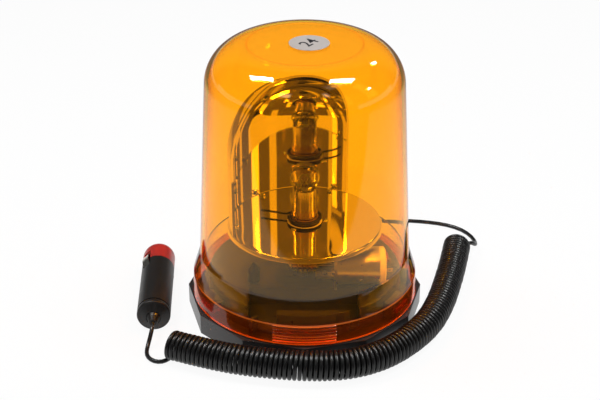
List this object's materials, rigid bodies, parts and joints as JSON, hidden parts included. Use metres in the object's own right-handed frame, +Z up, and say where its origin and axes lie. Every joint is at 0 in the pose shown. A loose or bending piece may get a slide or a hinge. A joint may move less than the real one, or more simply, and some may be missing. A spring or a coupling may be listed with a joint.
{
  "type": "rotating warning beacon",
  "caption": "Amber rotating beacon: clear domed lens on a black twelve-sided magnetic base, motor-driven mirror round a lamp, curly cord and vehicle socket plug.",
  "frame": {"origin": "centre of the foot's rubber pad, on the surface the beacon stands on", "axes": "+Z up through the lens; -Y is the front, with the deck well and a finger grip"},
  "size_m": [0.2354, 0.2097, 0.1858],
  "materials": {
    "black_abs": "glossy moulded ABS with a faint texture",
    "zinc_screw": "zinc plated screws and rivets",
    "zinc_steel": "zinc plated steel",
    "black_rubber": "matte rubber",
    "ferrite": "sintered ferrite, lacquered",
    "amber_lens": "clear amber plastic, polished",
    "label_foil": "silver grey printed foil",
    "nylon": "natural nylon",
    "brass_holder": "machined brass",
    "phenolic": "brown phenolic",
    "lamp_brass": "nickel washed brass",
    "lamp_glass": "clear glass",
    "tungsten": "drawn tungsten wire",
    "capacitor_sleeve": "black dipped sleeve",
    "wire_insulation": "PVC insulation",
    "cord_jacket": "black polyurethane jacket, slightly glossy",
    "plug_black": "satin black moulding",
    "plug_red": "glossy red moulding",
    "spring_steel": "bright spring steel",
    "fuse_glass": "glass fuse with metal ends",
    "collar_black": "black acetal",
    "mirror_metal": "bright vacuum metallised steel",
    "contact_nickel": "nickel plated contact spring"
  },
  "bodies": {
    "base": {"base_housing": "black_abs", "bottom_plate": "black_abs", "bottom_plate_screws": "zinc_screw", "magnet_pad": "black_rubber", "magnet_cup": "zinc_steel", "magnet_ring": "ferrite", "magnet_cup_screws": "zinc_screw", "lens_gasket": "black_rubber", "lamp_post": "zinc_steel", "post_nut": "zinc_steel", "thrust_washer": "nylon", "lamp_holder": "brass_holder", "holder_insulator": "phenolic", "holder_contact": "brass_holder", "lamp_cap": "lamp_brass", "lamp_glass": "lamp_glass", "lamp_stem": "lamp_glass", "lamp_filament": "tungsten", "motor_can": "zinc_steel", "motor_end_cap": "nylon", "motor_magnets": "ferrite", "motor_terminals": "lamp_brass", "motor_bracket": "zinc_steel", "motor_screws": "zinc_screw", "bracket_screw": "zinc_screw", "suppressor_capacitor": "capacitor_sleeve", "lamp_wire": "wire_insulation", "motor_wire": "wire_insulation", "cable_grommet": "black_rubber", "cord_lead_base": "cord_jacket", "cord_coil": "cord_jacket", "cord_lead_plug": "cord_jacket", "plug_strain_relief": "plug_black", "plug_rear_cap": "plug_black", "plug_body": "plug_black", "plug_nose_cap": "plug_red", "plug_spring": "spring_steel", "plug_fuse": "fuse_glass", "plug_fuse_carrier": "phenolic"},
    "lens": {"lens": "amber_lens", "rating_label": "label_foil"},
    "rotor": {"rotor_hub": "nylon", "turntable": "mirror_metal", "hub_rivets": "zinc_screw", "hub_clip": "collar_black", "reflector": "mirror_metal", "reflector_rivets": "zinc_screw", "worm_wheel": "nylon"},
    "motor_shaft": {"motor_shaft": "spring_steel", "armature": "ferrite", "worm": "brass_holder"},
    "plug_pin": {"plug_center_pin": "contact_nickel"},
    "upper_contact": {"plug_contact_upper": "contact_nickel"},
    "lower_contact": {"plug_contact_lower": "contact_nickel"}
  },
  "joints": [
    {"name": "lens_twist", "type": "hinge", "parent": "base", "child": "lens", "pos_m": [0, 0, 0], "axis": [0, 0, 1], "range_deg": [0, 24]},
    {"name": "rotor_spin", "type": "hinge", "parent": "base", "child": "rotor", "pos_m": [0, 0, 0.05], "axis": [0, 0, 1], "continuous": true},
    {"name": "motor_spin", "type": "hinge", "parent": "base", "child": "motor_shaft", "pos_m": [0, -0.022, 0.0425], "axis": [1, 0, 0], "continuous": true},
    {"name": "plug_pin_press", "type": "slide", "parent": "base", "child": "plug_pin", "axis": [-0.0439, 0.999, 0], "range_m": [-0.003, 0], "stiffness_N_per_m": 600, "springref_m": 0.001, "deforming": ["plug_spring"]},
    {"name": "upper_contact_press", "type": "slide", "parent": "base", "child": "upper_contact", "axis": [-0.7061, -0.031, 0.7074], "range_m": [-0.001, 0], "stiffness_N_per_m": 1500, "springref_m": 0.0004},
    {"name": "lower_contact_press", "type": "slide", "parent": "base", "child": "lower_contact", "axis": [0.7061, 0.031, -0.7074], "range_m": [-0.001, 0], "stiffness_N_per_m": 1500, "springref_m": 0.0004}
  ],
  "couplings": [
    {"joint": "motor_spin", "follows": "rotor_spin", "ratio": -36}
  ]
}
